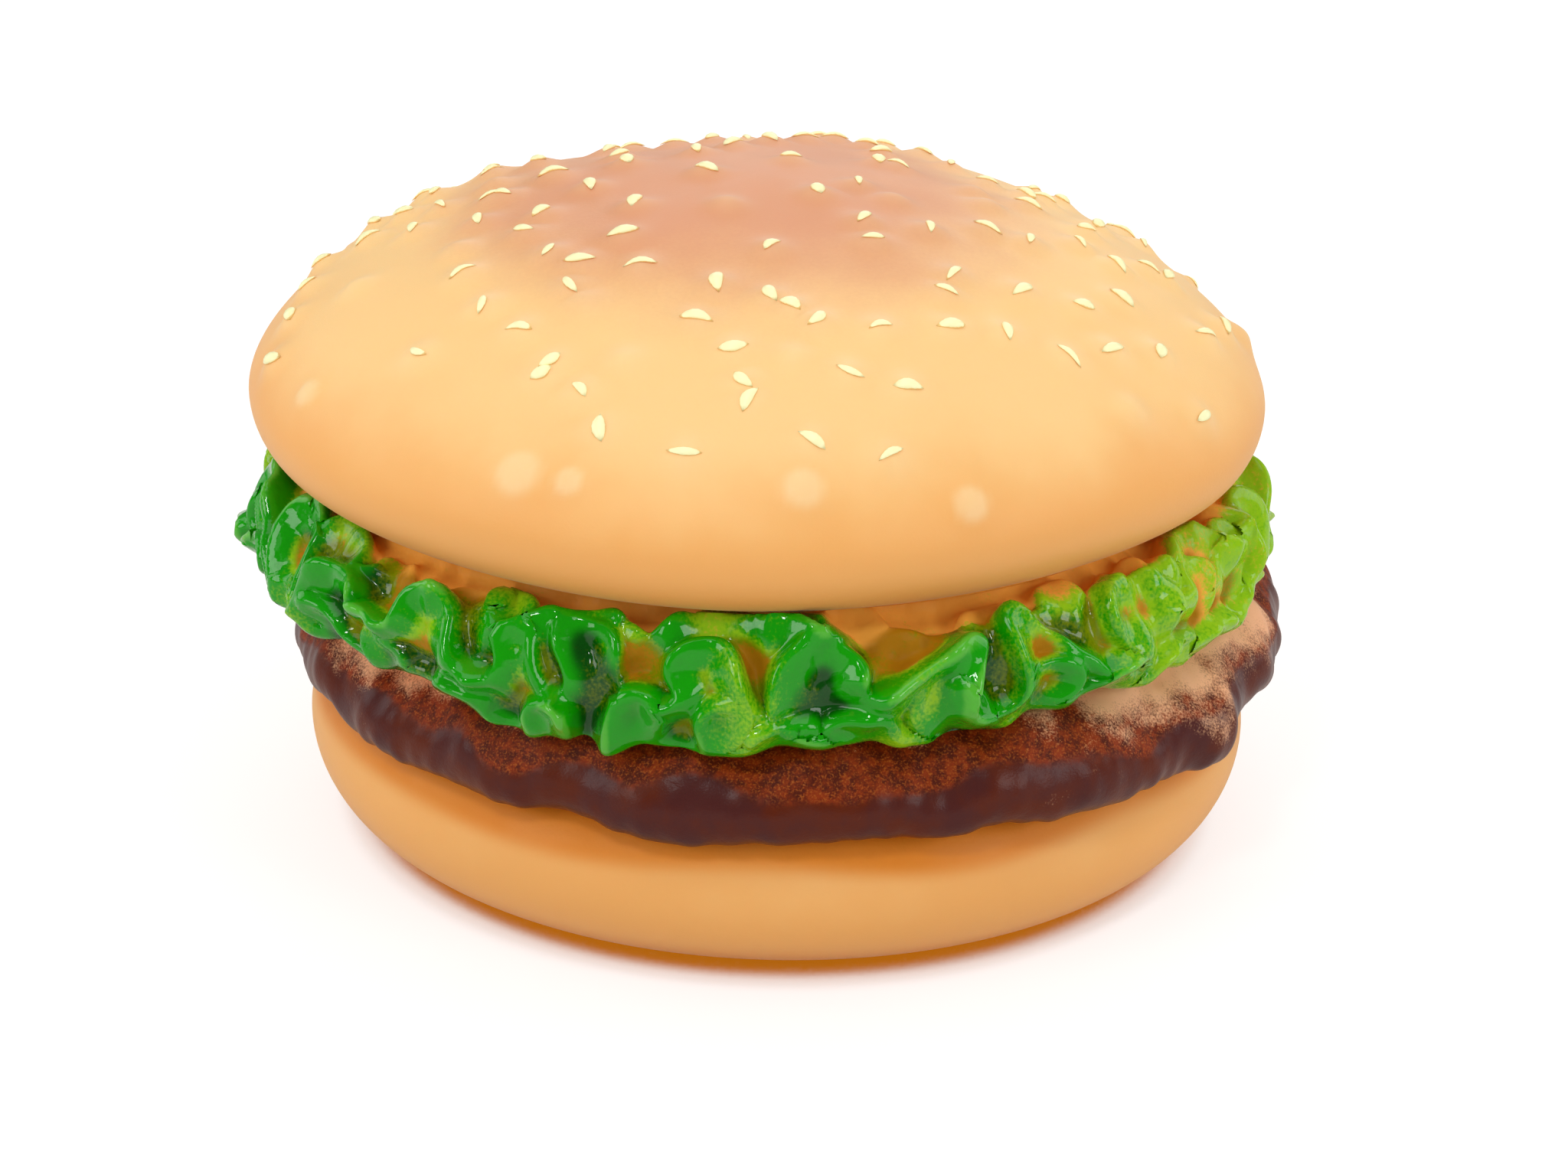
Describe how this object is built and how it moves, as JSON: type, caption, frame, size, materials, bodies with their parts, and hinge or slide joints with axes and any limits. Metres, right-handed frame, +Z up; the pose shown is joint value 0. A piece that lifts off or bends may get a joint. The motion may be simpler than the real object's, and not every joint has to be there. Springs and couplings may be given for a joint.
{
  "type": "novelty shaped telephone",
  "caption": "Corded clamshell telephone shaped as a hamburger: the domed top hinges up off a keypad and a hook switch.",
  "frame": {"origin": "centre of the rubber foot's underside, on the table", "axes": "+Z up, +Y towards the hinge at the back, -Y the side where the two halves open, +X to the right seen from the front"},
  "size_m": [0.1314, 0.1334, 0.0817],
  "materials": {
    "bun_skin": "matte",
    "patty_skin": "gloss",
    "lettuce_skin": "gloss",
    "inner_cream": "satin",
    "key_ivory": "satin",
    "function_key_red": "satin",
    "rubber_dark": "matte",
    "rubber_tan": "matte",
    "rubber_clear_grey": "matte",
    "steel": "satin",
    "board_green": "satin",
    "black_plastic": "satin",
    "gold_contact": "polished",
    "mic_can": "satin",
    "foam_grey": "matte",
    "cone_paper": "matte",
    "frame_black": "satin"
  },
  "bodies": {
    "base": {"bottom_bun": "bun_skin", "patty_ring": "patty_skin", "lettuce_ring": "lettuce_skin", "rubber_foot": "rubber_tan", "ballast_plate": "steel", "ballast_screws": "steel", "keypad_deck": "inner_cream", "keypad_mat": "rubber_clear_grey", "main_board": "board_green", "board_components": "black_plastic", "board_screws": "steel", "case_screws": "steel", "microphone": "mic_can", "microphone_boot": "rubber_dark", "hook_spring": "steel", "hook_bracket": "steel", "hook_switch": "black_plastic", "hook_screws": "steel", "line_jack": "inner_cream", "jack_contacts": "gold_contact", "ringer_switch": "black_plastic", "ringer": "black_plastic", "hinge_pin": "steel", "lid_bumpers": "rubber_tan"},
    "lid": {"top_bun": "bun_skin", "earpiece_panel": "inner_cream", "hook_pad": "rubber_tan", "lid_screws": "steel", "receiver_gasket": "foam_grey", "receiver_frame": "frame_black", "receiver_cone": "cone_paper", "receiver_magnet": "steel", "receiver_clamp": "steel", "clamp_screws": "steel"},
    "hook_plunger": {"hook_plunger": "inner_cream"},
    "ringer_knob": {"ringer_knob": "black_plastic"},
    "key_1": {"key_1": "key_ivory"},
    "key_2": {"key_2": "key_ivory"},
    "key_3": {"key_3": "key_ivory"},
    "key_4": {"key_4": "key_ivory"},
    "key_5": {"key_5": "key_ivory"},
    "key_6": {"key_6": "key_ivory"},
    "key_7": {"key_7": "key_ivory"},
    "key_8": {"key_8": "key_ivory"},
    "key_9": {"key_9": "key_ivory"},
    "key_star": {"key_star": "key_ivory"},
    "key_0": {"key_0": "key_ivory"},
    "key_hash": {"key_hash": "key_ivory"},
    "key_redial": {"key_redial": "function_key_red"},
    "key_flash": {"key_flash": "function_key_red"},
    "key_mute": {"key_mute": "function_key_red"}
  },
  "joints": [
    {"name": "lid_hinge", "type": "hinge", "parent": "base", "child": "lid", "pos_m": [0, 0.066, 0.0465], "axis": [-1, 0, 0], "range_deg": [0, 125]},
    {"name": "hook_slide", "type": "slide", "parent": "base", "child": "hook_plunger", "axis": [0, 0, 1], "range_m": [0, 0.0025], "deforming": ["hook_spring"]},
    {"name": "ringer_slide", "type": "slide", "parent": "base", "child": "ringer_knob", "axis": [1, 0, 0], "range_m": [-0.002, 0.002]},
    {"name": "key_1_press", "type": "slide", "parent": "base", "child": "key_1", "axis": [0, 0, -1], "range_m": [0, 0.0012], "stiffness_N_per_m": 400, "springref_m": -0.001},
    {"name": "key_2_press", "type": "slide", "parent": "base", "child": "key_2", "axis": [0, 0, -1], "range_m": [0, 0.0012], "stiffness_N_per_m": 400, "springref_m": -0.001},
    {"name": "key_3_press", "type": "slide", "parent": "base", "child": "key_3", "axis": [0, 0, -1], "range_m": [0, 0.0012], "stiffness_N_per_m": 400, "springref_m": -0.001},
    {"name": "key_4_press", "type": "slide", "parent": "base", "child": "key_4", "axis": [0, 0, -1], "range_m": [0, 0.0012], "stiffness_N_per_m": 400, "springref_m": -0.001},
    {"name": "key_5_press", "type": "slide", "parent": "base", "child": "key_5", "axis": [0, 0, -1], "range_m": [0, 0.0012], "stiffness_N_per_m": 400, "springref_m": -0.001, "deforming": ["keypad_mat"]},
    {"name": "key_6_press", "type": "slide", "parent": "base", "child": "key_6", "axis": [0, 0, -1], "range_m": [0, 0.0012], "stiffness_N_per_m": 400, "springref_m": -0.001},
    {"name": "key_7_press", "type": "slide", "parent": "base", "child": "key_7", "axis": [0, 0, -1], "range_m": [0, 0.0012], "stiffness_N_per_m": 400, "springref_m": -0.001},
    {"name": "key_8_press", "type": "slide", "parent": "base", "child": "key_8", "axis": [0, 0, -1], "range_m": [0, 0.0012], "stiffness_N_per_m": 400, "springref_m": -0.001},
    {"name": "key_9_press", "type": "slide", "parent": "base", "child": "key_9", "axis": [0, 0, -1], "range_m": [0, 0.0012], "stiffness_N_per_m": 400, "springref_m": -0.001},
    {"name": "key_star_press", "type": "slide", "parent": "base", "child": "key_star", "axis": [0, 0, -1], "range_m": [0, 0.0012], "stiffness_N_per_m": 400, "springref_m": -0.001},
    {"name": "key_0_press", "type": "slide", "parent": "base", "child": "key_0", "axis": [0, 0, -1], "range_m": [0, 0.0012], "stiffness_N_per_m": 400, "springref_m": -0.001},
    {"name": "key_hash_press", "type": "slide", "parent": "base", "child": "key_hash", "axis": [0, 0, -1], "range_m": [0, 0.0012], "stiffness_N_per_m": 400, "springref_m": -0.001},
    {"name": "key_redial_press", "type": "slide", "parent": "base", "child": "key_redial", "axis": [0, 0, -1], "range_m": [0, 0.0012], "stiffness_N_per_m": 400, "springref_m": -0.001},
    {"name": "key_flash_press", "type": "slide", "parent": "base", "child": "key_flash", "axis": [0, 0, -1], "range_m": [0, 0.0012], "stiffness_N_per_m": 400, "springref_m": -0.001},
    {"name": "key_mute_press", "type": "slide", "parent": "base", "child": "key_mute", "axis": [0, 0, -1], "range_m": [0, 0.0012], "stiffness_N_per_m": 400, "springref_m": -0.001}
  ],
  "couplings": [
    {"joint": "hook_slide", "follows": "lid_hinge", "m_per_rad": 0.001145}
  ]
}
